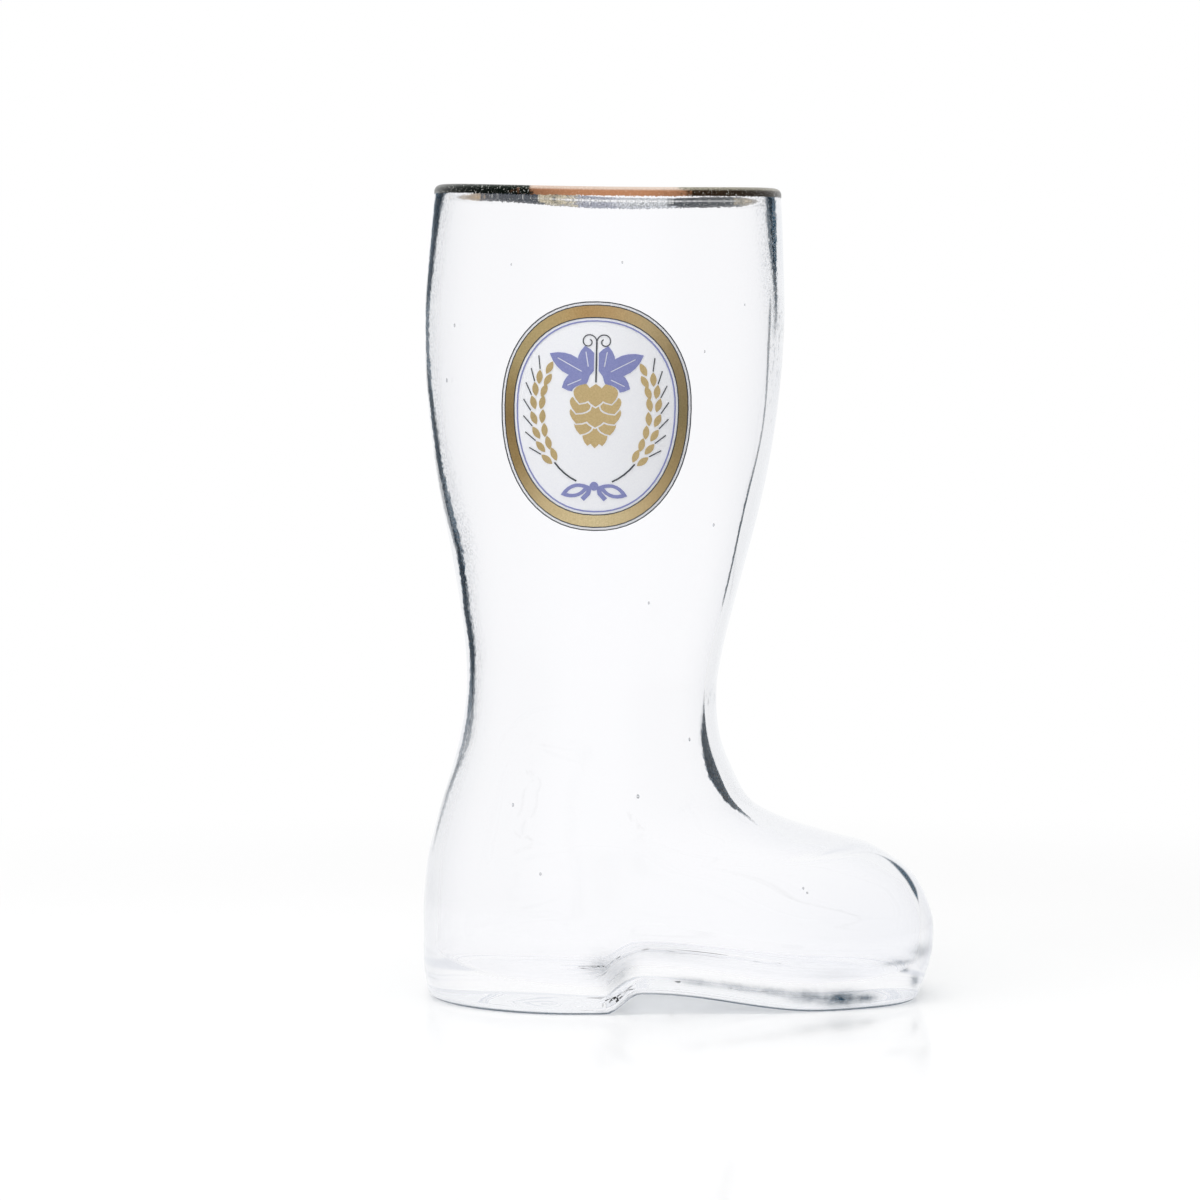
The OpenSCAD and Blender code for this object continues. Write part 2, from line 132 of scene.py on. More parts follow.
lip_r = wall / 2
mouth_r, calf_r, shin_r = mouth_d / 2, calf_d / 2, shin_d / 2
leg_l = (boot_h - shin_z - (mouth_r - lip_r) * math.sin(lean)) / math.cos(lean)
calf_v = (calf_z - shin_z) / math.cos(lean)


def mix(a, b, share):
    return a + (b - a) * share


def smooth(a, b, x):
    t = np.clip((x - a) / (b - a), 0, 1)
    return t * t * (3 - 2 * t)


def leg_r(v):
    """Radius of the leg at the height v along its axis, for one height or an array of them."""
    v = np.asarray(v, float)
    above = np.clip((v - calf_v) / (leg_l - calf_v), 0, 1)
    return np.where(
        v < calf_v,
        calf_r - (calf_r - shin_r) * (1 - v / calf_v) ** 2,
        calf_r - (calf_r - mouth_r) * above**mouth_power,
    )


glass_low, glass_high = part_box("boot_glass")
print("height off by", round(glass_high[2] / mm - boot_h, 2), "mm")
print("length off by", round((glass_high[0] - glass_low[0]) / mm - boot_l, 2), "mm")

# %% [markdown]
# ## The loft of the foot
# A Hermite curve runs through the rows of the table, so the surface stays smooth between them.
# Each section is two half superellipses. Its points are spaced evenly along its outline, because
# glass shows every uneven facet as a streak.

# %% Sections of the foot
around = 192
half_steps = 360
dense = np.linspace(0, math.pi, half_steps + 1)
leg_overlap = 12


def leg_row(v):
    """The leg's section at the height v, written as a row of the foot's table in millimetres."""
    r = float(leg_r(v))
    x, z = shin_x + v * math.sin(lean), shin_z + v * math.cos(lean)
    dx, dz = r * math.cos(lean), r * math.sin(lean)
    return [z + dz, x - dx, z - dz, x + dx, r, 0.5, 2, 2]


def shin_row(row):
    height, back, front = row
    z, x = mix(ankle_z, shin_z, height), mix(ankle_in, shin_x - shin_r, back)
    end = mix(ankle_in + ankle_d, shin_x + shin_r, front)
    tilt = (end - x) / 2 * math.sin(lean) * height
    return [z + tilt, x, z - tilt, end, mix(ankle_d / 2, shin_r, (back + front) / 2), 0.5, 2, 2]


def foot_row(row):
    reach = mix(ankle_in + ankle_d, boot_l, row[3])
    half = mix(ankle_d, heel_w, row[4]) / 2
    return [row[0] * ankle_z, row[1] * ankle_in, row[2] * ankle_z, reach, half, row[5], row[6], row[7]]


rows = [leg_row(leg_overlap), leg_row(0)]
rows += [shin_row(row) for row in shin_shares] + [foot_row(row) for row in foot_shares]
rows = np.array(rows, float)


def row_between(i, u):
    """The row at the share u of the way from row i to row i + 1, on a smooth curve."""
    a, b = rows[i], rows[i + 1]
    before = rows[i - 1]
    after = rows[i + 2] if i + 2 < len(rows) else 2 * b - a
    return (
        a * (2 * u**3 - 3 * u**2 + 1)
        + (b - before) / 2 * (u**3 - 2 * u**2 + u)
        + b * (3 * u**2 - 2 * u**3)
        + (after - a) / 2 * (u**3 - u**2)
    )


def arch_at(x):
    rise = smooth(heel_l, heel_l + breast_l, x)
    return arch_h * rise * (1 - smooth(heel_l + breast_l, ball_x, x))


def waist_at(x):
    return waist_in * np.exp(-(((x - waist_share * boot_l) / waist_l) ** 2))


def section(row, inset=0.0, drop=0.0):
    """One closed section of the foot, from the toe round by +Y, with its points evenly spaced."""
    back_z, back_x, front_z, front_x, half, wide, back_e, front_e = row
    xb, xf, w = back_x + inset, front_x - inset, half - inset
    xm = mix(xb, xf, wide)
    c, s = np.cos(dense), np.sin(dense)
    e = np.where(c > 0, front_e, back_e)
    reach = np.where(c > 0, xf - xm, xm - xb)
    x = xm + reach * np.sign(c) * np.abs(c) ** (2 / e)
    y = w * np.abs(s) ** (2 / e)
    run = np.concatenate([[0], np.cumsum(np.hypot(np.diff(x), np.diff(y)))])
    even = np.linspace(0, run[-1], around // 2 + 1)
    x, y = np.interp(even, run, x), np.interp(even, run, y)
    x, y = np.concatenate([x, x[-2:0:-1]]), np.concatenate([y, -y[-2:0:-1]])
    z = mix(back_z, front_z, (x - xb) / (xf - xb)) * (1 - drop)
    low = 1 - smooth(0, arch_fade, z)
    return np.stack([x, y * (1 - waist_at(x) / w * low), z + arch_at(x) * low], -1)


print("rows in the loft:", len(rows))

# %% [markdown]
# ## Outside and inside of the glass
# Blown glass is one wall with an outside that the mould made and an inside that only the air made.
# The inside follows the outside at the wall's thickness, but its corners are rounder and it waves
# a little. Those waves bend what is seen through the glass, so they are part of the mesh.

# %% Rings of the leg and the lip
saddle = 1.1
back_saddle = 1.2
back_share = 0.6
lip_tilt = 0.45
lip_fade = 24
angles = 2 * math.pi * np.arange(around) / around


def leg_points(r, v):
    """Points of a ring round the leg's axis. The lip dips at the front and back, as it cooled."""
    near_lip = smooth(leg_l - lip_fade, leg_l, v)
    side = np.sin(angles)
    dip = np.where(side < 0, saddle * side**2, back_saddle * smooth(0, back_share, side))
    v = v + near_lip * (lip_tilt * np.cos(angles) - dip)
    x = shin_x + r * np.cos(angles) * math.cos(lean) + v * math.sin(lean)
    z = shin_z + v * math.cos(lean) - r * np.cos(angles) * math.sin(lean)
    return np.stack([x, r * side, z], -1)


def lip_point(turn, out=0.0):
    """Radius and height on the half circle over the lip: turn runs from 0 outside to 180 inside."""
    c = leg_l - lip_r
    r = float(leg_r(c)) - lip_r + (lip_r + out) * math.cos(math.radians(turn))
    return r, c + (lip_r + out) * math.sin(math.radians(turn))


print("the lip dips by", saddle, "mm in front and", back_saddle, "mm behind")

# %% Outer skin
leg_rings = 52
foot_steps = 6
base_steps = 6
sole_insets = [2.5, 5, 10, 15, 21, 27, 32]
push_shares = [0, 0, 0.75, 1, 1, 1, 1]


def corner(row, r, steps):
    """Sections of a quarter round between the wall and the sole."""
    turns = [math.radians(90 * i / steps) for i in range(steps + 1)]
    return [section(row, r * (1 - math.cos(t)), math.sin(t)) for t in turns]


leg_heights = np.linspace(leg_l - lip_r, 0, leg_rings)[:-1]
loft = [row_between(i, u / foot_steps) for i in range(1, len(rows) - 1) for u in range(foot_steps)]

outer = [leg_points(float(leg_r(v)), v) for v in leg_heights]
outer += [section(row) for row in loft]
outer += corner(rows[-1], base_r, base_steps)
for inset, share in zip(sole_insets, push_shares):
    ring = section(rows[-1], base_r + inset, 1)
    ring[:, 2] += push_up * share
    outer.append(ring)
outer = np.array(outer)
print("outer skin:", outer.shape[0], "rings of", around)

# %% [markdown]
# The print is fired onto the glass, so the skin lies a hair under it. If both lay in one place, the
# facets of the one would cut through the other, and the print would show a weave from behind.

# %% Room for the print
print_gap = 0.05
print_margin = 3
gap_full, gap_none = 0.95, 1.25


def ring_normals(rings):
    """Unit normals of a grid of rings, pointing into the glass."""
    side = np.roll(rings, -1, axis=1) - np.roll(rings, 1, axis=1)
    down = np.gradient(rings, axis=0)
    n = np.cross(side, down)
    return n / np.maximum(np.linalg.norm(n, axis=-1, keepdims=True), 1e-9)


print_low, print_high = (np.array(point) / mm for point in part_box("print_ground"))
print_centre = (print_low + print_high) / 2
print_half = (print_high - print_low) / 2 + print_margin
off_centre = (outer - [boot_l / 2, 0, 0] - print_centre) / print_half
under_print = 1 - smooth(gap_full, gap_none, np.hypot(off_centre[..., 0], off_centre[..., 2]))
under_print = np.where(outer[..., 1] < 0, under_print, 0)
outer = outer + ring_normals(outer) * (print_gap * under_print)[..., None]
print("the skin lies", print_gap, "mm under the print")

# %% [markdown]
# The inner skin is the outer form again, moved inward along its normals. It ends in a wider corner
# above the sole, because the air never pressed the glass right into the mould's corner.

# %% Inner skin
inner_corner = 9.0
inner_steps = 10
inner_end = 0.75
inner_gap = 1
inner_insets = [3.5, 8, 14, 20, 24.5]
# depth of each swell, its waves round the leg, the height of one radian and its phase
swells = [[0.10, 2, 21, 0.0], [0.05, 3, -8.5, 1.3], [0.035, 5, 5.2, 0.4]]


def waves(p):
    """Slow swells in the thickness of the wall, in millimetres."""
    turn = np.arctan2(p[..., 1], p[..., 0] - shin_x)
    return sum(
        depth * np.sin(count * turn + p[..., 2] / rise + phase) for depth, count, rise, phase in swells
    )


inner_row = row_between(len(rows) - 4, inner_end)
backing = [leg_points(float(leg_r(v)), v) for v in leg_heights]
backing += [section(row) for row in loft if row[0] > inner_row[0] + inner_gap]
backing += corner(inner_row, inner_corner, inner_steps)
backing += [section(inner_row, inner_corner + inset, 1) for inset in inner_insets]
backing = np.array(backing)
inward = ring_normals(backing)
up = np.clip(inward[..., 2:3], 0, 1)
thickness = mix(wall, sole_t, up**2) + waves(backing)[..., None]
inner = backing + inward * thickness
for i, share in enumerate(push_shares[-len(inner_insets):]):
    inner[i - len(inner_insets), :, 2] += push_up * share
print("inner skin:", inner.shape[0], "rings, thinnest", round(float(thickness.min()), 2), "mm")

# %% [markdown]
# The lip is a half circle that joins the two skins, because a fire-polished lip is round. The
# helpers below turn rings of points into faces and faces into a piece.

# %% Lip and mesh
lip_rings = 8
lip = [leg_points(*lip_point(180 * (i + 1) / (lip_rings + 1))) for i in range(lip_rings)]
print("lip at", round(float(lip[lip_rings // 2][:, 2].max()), 2), "mm")


def centred(points):
    """Moves points from the heel's back to the frame's origin, and turns millimetres into metres."""
    return (np.asarray(points) - [boot_l / 2, 0, 0]) * mm


def tube_faces(rings, first):
    """Quads between each ring and the next."""
    faces = []
    for i in range(rings - 1):
        a = first + i * around
        for k in range(around):
            j = (k + 1) % around
            faces.append((a + k, a + around + k, a + around + j, a + j))
    return faces


def end_strips(start):
    """Strips across one ring, which close a skin under the foot."""
    half = around // 2
    faces = [(start, start + 1, start + around - 1)]
    for k in range(1, half - 1):
        faces.append((start + k, start + k + 1, start + around - k - 1, start + around - k))
    faces.append((start + half - 1, start + half, start + half + 1))
    return faces


def make_mesh(name, points, faces, material):
    mesh = bpy.data.meshes.new(name)
    mesh.from_pydata([tuple(p) for p in points], [], faces)
    mesh.polygons.foreach_set("use_smooth", [True] * len(mesh.polygons))
    mesh.materials.append(material)
    mesh.update()
    piece = bpy.data.objects.new(name, mesh)
    scene.collection.objects.link(piece)
    print(name, "has", len(mesh.polygons), "faces")
    return piece


# %% [markdown]
# ## Materials
# Colours are written as sRGB hex, as a colour picker shows them, and one function turns them to
# the linear values that the renderer mixes. One small helper adds a node, with its kind, its
# settings and what comes into it, so a material reads from its first cause to its surface.

# %% Material helpers
def linear(hex_colour, alpha=1.0):
    parts = [int(hex_colour[i : i + 2], 16) / 255 for i in (1, 3, 5)]
    parts = [p / 12.92 if p <= 0.04045 else ((p + 0.055) / 1.055) ** 2.4 for p in parts]
    return (*parts, alpha)


def add_node(material, kind, settings=None, links=None):
    """Adds a shader node, such as Math. Settings are inputs or properties of it. Links come to its
    inputs from sockets, or from nodes, which give their first output."""
    node = material.node_tree.nodes.new("ShaderNode" + kind)
    for name, value in (settings or {}).items():
        if isinstance(name, int) or name in node.inputs:
            node.inputs[name].default_value = value
        else:
            setattr(node, name, value)
    for name, source in (links or {}).items():
        socket = source.outputs[0] if isinstance(source, bpy.types.Node) else source
        material.node_tree.links.new(socket, node.inputs[name])
    return node


def new_material(name):
    material = bpy.data.materials.new(name)
    material.use_nodes = True
    material.node_tree.nodes.clear()
    return material


def finish_material(material, surface, volume=None):
    ends = {"Surface": surface} if volume is None else {"Surface": surface, "Volume": volume}
    add_node(material, "OutputMaterial", links=ends)


print("mid grey #808080 is", round(linear("#808080")[0], 3), "in linear light")

# %% [markdown]
# ### Soda-lime glass
# Bar glass is soda-lime glass, blown in a mould and fire-polished. It is clear from the front and a
# little grey where the eye looks along the wall. Its IOR is 1.52. It could be one plain shader among
# dark screens, as in a photographer's studio. Here the shader paints the dark lines itself, a painted
# reflection of such screens, because then each line can be placed and broken as it is on the real glass.
#
# First comes the glancing angle, 0 square on and 1 edge-on. For a face that is seen from inside the
# glass, the law of refraction gives the angle in air. Two grains make every line a little uneven.

# %% Glancing angle and grain
glass_ior = 1.52
ripple_size = 1.1
ripple_swing = 0.03
grain_size = 0.4

glass = new_material("soda_lime_glass")
place = add_node(glass, "TexCoord")
where = add_node(glass, "SeparateXYZ", links={0: place.outputs["Object"]})
face = add_node(glass, "NewGeometry")
path = add_node(glass, "LightPath")
at_once = add_node(glass, "Math", {"operation": "LESS_THAN", 1: 0.5}, {0: path.outputs["Ray Depth"]})
ripple = add_node(
    glass, "TexNoise", {"Scale": 1 / (ripple_size * mm), "Detail": 4.0, "Roughness": 0.7},
    {"Vector": place.outputs["Object"]},
)
fine = add_node(
    glass, "TexNoise", {"Scale": 1 / (grain_size * mm), "Detail": 2.0},
    {"Vector": place.outputs["Object"]},
)
uneven = add_node(
    glass, "MapRange",
    {"From Min": 0.3, "From Max": 0.7, "To Min": -ripple_swing, "To Max": ripple_swing},
    {"Value": ripple.outputs["Fac"]},
)
glancing = add_node(glass, "LayerWeight", {"Blend": 0.5})
cosine = add_node(glass, "Math", {"operation": "SUBTRACT", 0: 1.0}, {1: glancing.outputs["Facing"]})
cosine_2 = add_node(glass, "Math", {"operation": "POWER", 1: 2.0}, {0: cosine})
air_2 = add_node(
    glass, "Math", {"operation": "MULTIPLY_ADD", 1: glass_ior**2, 2: 1 - glass_ior**2}, {0: cosine_2}
)
air_2 = add_node(glass, "Math", {"operation": "MAXIMUM", 1: 0.0}, {0: air_2})
air = add_node(glass, "Math", {"operation": "SQRT"}, {0: air_2})
air_facing = add_node(glass, "Math", {"operation": "SUBTRACT", 0: 1.0}, {1: air})
facing = add_node(
    glass, "Mix", {"data_type": "FLOAT"},
    {0: face.outputs["Backfacing"], 2: glancing.outputs["Facing"], 3: air_facing},
)
angle = add_node(glass, "Math", {"operation": "ADD"}, {0: facing, 1: uneven})
print("grain of", ripple_size, "and", grain_size, "mm")

# %% [markdown]
# ### Dark lines at the edge
# A wall seen edge-on bends the eye's path far to the side, where a room is darker, so glass has dark
# lines just inside its outline. The room seen through this glass is white, so these lines are a painted
# reflection of that dark. They are strong, weak or broken by the height, because a blown wall is never
# even. The attribute edge_line holds where each line begins and ends, as shares of the glancing angle,
# and how dark it is. A thin haze of specks, painted shade too, fades in just inside the line of the near
# face.

# %% Lines in the shader
line_soft = 0.015
haze_reach = 0.22
haze_dark = 0.45

# painted reflection of dark surroundings: each edge line, placed by the glancing angle
line = add_node(glass, "Attribute", {"attribute_name": "edge_line"})
line_parts = add_node(glass, "SeparateXYZ", links={0: line.outputs["Vector"]})
past_begin = add_node(glass, "Math", {"operation": "SUBTRACT"}, {0: angle, 1: line_parts.outputs["X"]})
before_end = add_node(glass, "Math", {"operation": "SUBTRACT"}, {0: line_parts.outputs["Y"], 1: angle})
inside_line = add_node(glass, "Math", {"operation": "MINIMUM"}, {0: past_begin, 1: before_end})
edge_dark = add_node(
    glass, "MapRange",
    {"interpolation_type": "SMOOTHSTEP", "From Min": -line_soft, "From Max": line_soft},
    {"Value": inside_line},
)
speck = add_node(
    glass, "MapRange", {"From Min": 0.35, "From Max": 0.6, "To Min": 0.75, "To Max": 1.0},
    {"Value": fine.outputs["Fac"]},
)
for part in (line_parts.outputs["Z"], speck):
    edge_dark = add_node(glass, "Math", {"operation": "MULTIPLY"}, {0: edge_dark, 1: part})
# painted shade: a speckled fade just inside each edge line, on the first face hit
haze = add_node(
    glass, "MapRange",
    {"interpolation_type": "SMOOTHSTEP", "From Min": -haze_reach, "From Max": 0.0, "To Max": haze_dark},
    {"Value": past_begin},
)
haze_end = add_node(glass, "Math", {"operation": "GREATER_THAN", 1: 0.0}, {0: before_end})
grit = add_node(glass, "MapRange", {"From Min": 0.45, "From Max": 0.65}, {"Value": fine.outputs["Fac"]})
for part in (haze_end, grit, line_parts.outputs["Z"], at_once):
    haze = add_node(glass, "Math", {"operation": "MULTIPLY"}, {0: haze, 1: part})
print("haze reaches", haze_reach, "inside the lines")

# %% [markdown]
# ### Grey spots and the sole's contact line
# The glass is grey and mottled in spots low on the foot, and an attribute says where. The sole's lower
# edge ends in a thin dark line, a painted contact shadow of the gap under it.

# %% Grey spots and the sole's painted contact line
sole_edge_full = 2.5
sole_edge_none = 8.0
sole_edge_dark = 0.8

# grey, mottled spots low on the print's side of the foot; the attribute says where
mark = add_node(glass, "Attribute", {"attribute_name": "low_grey_spot"})
mottle = add_node(
    glass, "MapRange", {"From Min": 0.3, "From Max": 0.65, "To Min": 0.55, "To Max": 1.0},
    {"Value": ripple.outputs["Fac"]},
)
mark = add_node(glass, "Math", {"operation": "MULTIPLY"}, {0: mark.outputs["Fac"], 1: mottle})
# painted contact shadow: a thin dark line along the sole's lower edge, on the first face hit
painted_contact_line = add_node(
    glass, "MapRange",
    {"interpolation_type": "SMOOTHSTEP", "From Min": sole_edge_full * mm, "From Max": sole_edge_none * mm,
     "To Min": sole_edge_dark, "To Max": 0.0},
    {"Value": where.outputs["Z"]},
)
slanting = add_node(
    glass, "MapRange", {"interpolation_type": "SMOOTHSTEP", "From Min": 0.35, "From Max": 0.6},
    {"Value": glancing.outputs["Facing"]},
)
normal = add_node(glass, "SeparateXYZ", links={0: face.outputs["Normal"]})
downward = add_node(
    glass, "MapRange",
    {"interpolation_type": "SMOOTHSTEP", "From Min": -0.85, "From Max": -0.6, "To Min": 1.0, "To Max": 0.0},
    {"Value": normal.outputs["Z"]},
)
for part in (slanting, at_once, downward):
    painted_contact_line = add_node(glass, "Math", {"operation": "MULTIPLY"}, {0: painted_contact_line, 1: part})
print("the sole's edge line fades by", sole_edge_none, "mm")

# %% [markdown]
# ### Painted arc over the toe
# On the print's side near the toe, the wall seen edge-on shows one dark arc, a painted reflection like
# the edge lines. The shader paints it as an arc of a circle that tapers to both ends. The place of the
# circle and the heights of the arc's ends are in millimetres.

# %% Painted arc over the toe
toe_arc_x, toe_arc_z, toe_arc_r = 37.7, 18.4, 14.1
toe_arc_from_x = 35
toe_arc_top, toe_arc_top_full = 32.5, 27
toe_arc_bottom, toe_arc_bottom_full = 20.5, 24.5
toe_arc_half_w = 0.6
toe_arc_soft_in, toe_arc_soft_out = 0.35, 0.1
toe_arc_dark = 0.9

from_centre = add_node(
    glass, "VectorMath", {"operation": "SUBTRACT", 1: (toe_arc_x * mm, 0, toe_arc_z * mm)},
    {0: place.outputs["Object"]},
)
flat = add_node(glass, "VectorMath", {"operation": "MULTIPLY", 1: (1, 0, 1)}, {0: from_centre})
radius = add_node(glass, "VectorMath", {"operation": "LENGTH"}, {0: flat})
off = add_node(glass, "Math", {"operation": "SUBTRACT", 1: toe_arc_r * mm}, {0: radius.outputs["Value"]})
off = add_node(glass, "Math", {"operation": "ABSOLUTE"}, {0: off})
upper = add_node(
    glass, "MapRange",
    {"interpolation_type": "SMOOTHSTEP", "From Min": toe_arc_top * mm, "From Max": toe_arc_top_full * mm},
    {"Value": where.outputs["Z"]},
)
lower = add_node(
    glass, "MapRange",
    {"interpolation_type": "SMOOTHSTEP", "From Min": toe_arc_bottom * mm, "From Max": toe_arc_bottom_full * mm},
    {"Value": where.outputs["Z"]},
)
taper = add_node(glass, "Math", {"operation": "MULTIPLY"}, {0: upper, 1: lower})
half_w = add_node(glass, "Math", {"operation": "MULTIPLY", 1: toe_arc_half_w * mm}, {0: taper})
past_edge = add_node(glass, "Math", {"operation": "SUBTRACT"}, {0: off, 1: half_w})
# painted reflection: the dark arc over the toe, seen aslant on the first face hit
toe_arc_shade = add_node(
    glass, "MapRange",
    {"interpolation_type": "SMOOTHSTEP", "From Min": -toe_arc_soft_in * mm, "From Max": toe_arc_soft_out * mm,
     "To Min": toe_arc_dark, "To Max": 0.0},
    {"Value": past_edge},
)
print_side = add_node(glass, "Math", {"operation": "LESS_THAN", 1: 0.0}, {0: where.outputs["Y"]})
toe_side = add_node(
    glass, "Math", {"operation": "GREATER_THAN", 1: toe_arc_from_x * mm}, {0: where.outputs["X"]}
)
aslant = add_node(
    glass, "MapRange", {"interpolation_type": "SMOOTHSTEP", "From Min": 0.3, "From Max": 0.45},
    {"Value": glancing.outputs["Facing"]},
)
for part in (print_side, toe_side, aslant, at_once):
    toe_arc_shade = add_node(glass, "Math", {"operation": "MULTIPLY"}, {0: toe_arc_shade, 1: part})
print("draw line of radius", toe_arc_r, "mm")

# %% [markdown]
# ### Tone of the wall
# Soda-lime glass has a trace of iron, so a long way through it looks a little grey and cold. The
# wall greys towards its outline by the glancing angle: partly the glass's own tint along that long path,
# partly a painted shade of the darker room that the outline mirrors. The low, thick toe is a touch
# greyer than the leg.

# %% Tone
toe_tone_from, toe_tone_to = 5, 50
low_tone_full, low_tone_none = 10, 40
heel_share = 0.3

near_face = add_node(glass, "Math", {"operation": "LESS_THAN", 1: 1.5}, {0: path.outputs["Ray Depth"]})
# partly painted shade: the wall's colour greys towards its outline by the glancing angle
grey = add_node(
    glass, "MapRange", {"interpolation_type": "SMOOTHSTEP", "From Min": 0.27, "From Max": 0.9},
    {"Value": glancing.outputs["Facing"]},
)
grey = add_node(glass, "Math", {"operation": "MULTIPLY"}, {0: grey, 1: near_face})
toe_share = add_node(
    glass, "MapRange",
    {"interpolation_type": "SMOOTHSTEP", "From Min": toe_tone_from * mm, "From Max": toe_tone_to * mm},
    {"Value": where.outputs["X"]},
)
low_share = add_node(
    glass, "MapRange",
    {"interpolation_type": "SMOOTHSTEP", "From Min": low_tone_full * mm, "From Max": low_tone_none * mm,
     "To Min": 1.0, "To Max": 0.0},
    {"Value": where.outputs["Z"]},
)
thick = add_node(
    glass, "Math", {"operation": "MULTIPLY_ADD", 1: 1 - heel_share, 2: heel_share}, {0: toe_share}
)
for part in (low_share, near_face):
    thick = add_node(glass, "Math", {"operation": "MULTIPLY"}, {0: thick, 1: part})
foot_tone = add_node(
    glass, "Mix", {"data_type": "RGBA", 6: linear("#FEFEFF"), 7: linear("#F7F8FB")}, {0: thick}
)
wall_tone = add_node(
    glass, "Mix", {"data_type": "RGBA", 7: linear("#E0E3E9")}, {0: grey, 6: foot_tone.outputs[2]}
)
print("the toe's tone begins at", toe_tone_from, "mm")

# %% [markdown]
# ### Light through the glass
# The dark of the painted lines and arc, and of the grey spots, is glass too, of a slate colour, so it
# still shines. Light that has gone to and fro in the sole leaves it as white as the room, so rays past
# most_bounces end in a painted glow. Lamps shine through glass, so its shadow is pale: for shadow rays
# the wall is nearly transparent, and only the thick sole holds light back.

# %% Glass shader
most_bounces = 5.5
sole_shade_full, sole_shade_none = 2, 9

dark = edge_dark
for part in (mark, haze, painted_contact_line, toe_arc_shade):
    dark = add_node(glass, "Math", {"operation": "MAXIMUM"}, {0: dark, 1: part})
body = add_node(
    glass, "BsdfPrincipled", {"Roughness": 0.0, "IOR": glass_ior, "Transmission Weight": 1.0},
    {"Base Color": wall_tone.outputs[2]},
)
# painted reflection and shade: the painted lines and arc, and the grey spots, are mixed in as this slate
# glass
slate = add_node(glass, "BsdfGlass", {"Color": linear("#264457"), "Roughness": 0.0, "IOR": glass_ior})
lined = add_node(glass, "MixShader", links={0: dark, 1: body, 2: slate})
lost = add_node(
    glass, "Math", {"operation": "GREATER_THAN", 1: most_bounces}, {0: path.outputs["Ray Depth"]}
)
# painted glow: rays past most_bounces end in near-white light
room = add_node(glass, "Emission", {"Color": linear("#F4F5F8"), "Strength": 1.0})
lined = add_node(glass, "MixShader", links={0: lost, 1: lined, 2: room})
solid = add_node(
    glass, "MapRange",
    {"interpolation_type": "SMOOTHSTEP", "From Min": sole_shade_full * mm, "From Max": sole_shade_none * mm},
    {"Value": where.outputs["Z"]},
)
held = add_node(
    glass, "Mix", {"data_type": "RGBA", 6: linear("#B4B8BD"), 7: linear("#F2F4F5")}, {0: solid}
)
clear = add_node(glass, "BsdfTransparent", links={"Color": held.outputs[2]})
shade = add_node(glass, "MixShader", links={0: path.outputs["Is Shadow Ray"], 1: lined, 2: clear})
tint = add_node(glass, "VolumeAbsorption", {"Color": linear("#B4C0D0"), "Density": 2.0})
finish_material(glass, shade, tint)
print("nodes in the glass:", len(glass.node_tree.nodes))

# %% [markdown]
# ### Where the edge lines run
# Each table follows one painted dark line down the boot: height, where the line begins and ends,
# and its darkness.
# The heel's side carries a line in the outer skin, and the toe's side one in the inner skin. The
# tables hand over from the heel's side to the toe's side, and none of them reaches the tip of the toe.

# %% Tables of the edge lines
heel_outer = [
    [176, 0.67, 0.88, 1.0], [165, 0.73, 0.89, 0.95], [146, 0.79, 0.91, 0.9], [120, 0.73, 0.84, 0.9],
    [97, 0.61, 0.73, 0.95], [84, 0.68, 0.80, 0.9], [75, 0.64, 0.76, 0.9], [67, 0.69, 0.80, 0.9],
    [58, 0.69, 0.79, 0.75], [50, 0.72, 0.80, 0.5], [39, 0.76, 0.82, 0.4], [30, 0.80, 0.84, 0.0],
]
toe_outer = [
    [176, 0.60, 0.74, 1.0], [167, 0.64, 0.74, 1.0], [158, 0.66, 0.72, 1.0], [148, 0.68, 0.71, 0.6],
    [142, 0.68, 0.70, 0.0],
]
toe_inner = [
    [176, 0.90, 0.99, 0.0], [153, 0.88, 0.99, 0.0], [147, 0.84, 0.99, 0.6], [120, 0.86, 0.97, 0.5],
    [108, 0.84, 0.94, 1.0], [88, 0.84, 0.94, 0.9], [84, 0.90, 0.99, 0.0], [68, 0.92, 0.99, 0.0],
    [64, 0.88, 0.98, 0.6], [61, 0.80, 0.96, 1.0], [57, 0.70, 0.95, 1.0], [48, 0.62, 0.93, 1.0],
    [41, 0.74, 0.93, 1.0], [38.5, 0.88, 0.93, 1.0], [37.5, 0.92, 0.93, 0.0],
]
no_line = [[boot_h, 0.9, 0.99, 0.0], [0, 0.9, 0.99, 0.0]]
# a seed gets a painted dark rim, from its first slant out to its rim, past any angle
seed_line = [0.35, 2.0, 0.75]
heel_to, toe_from = -31, -7
tip_from, tip_to = 40, 45


def edge_line(points, heel_table, toe_table):
    """Begin, end and darkness of the edge line at every point, from the heel's side to the tip."""
    p = np.asarray(points).reshape(-1, 3)
    sides = []
    for rows_down in (heel_table, toe_table, no_line):
        table_up = np.array(rows_down[::-1])
        sides.append(
            np.stack([np.interp(p[:, 2], table_up[:, 0], table_up[:, k]) for k in (1, 2, 3)], -1)
        )
    x = p[:, 0] - boot_l / 2
    line = mix(sides[0], sides[1], smooth(heel_to, toe_from, x)[:, None])
    return mix(line, sides[2], smooth(tip_from, tip_to, x)[:, None])


print("edge lines at", len(heel_outer) + len(toe_outer) + len(toe_inner), "heights")

# %% [markdown]
# ### Where the grey spots lie
# They are soft spots on the print's side of the foot: a streak along the front of the sole and some
# smudges by the toe in the outer skin, and one cloud over the heel's breast in the inner skin. Each row
# holds the place along the boot, the height above the sole, half length, half height and darkness.

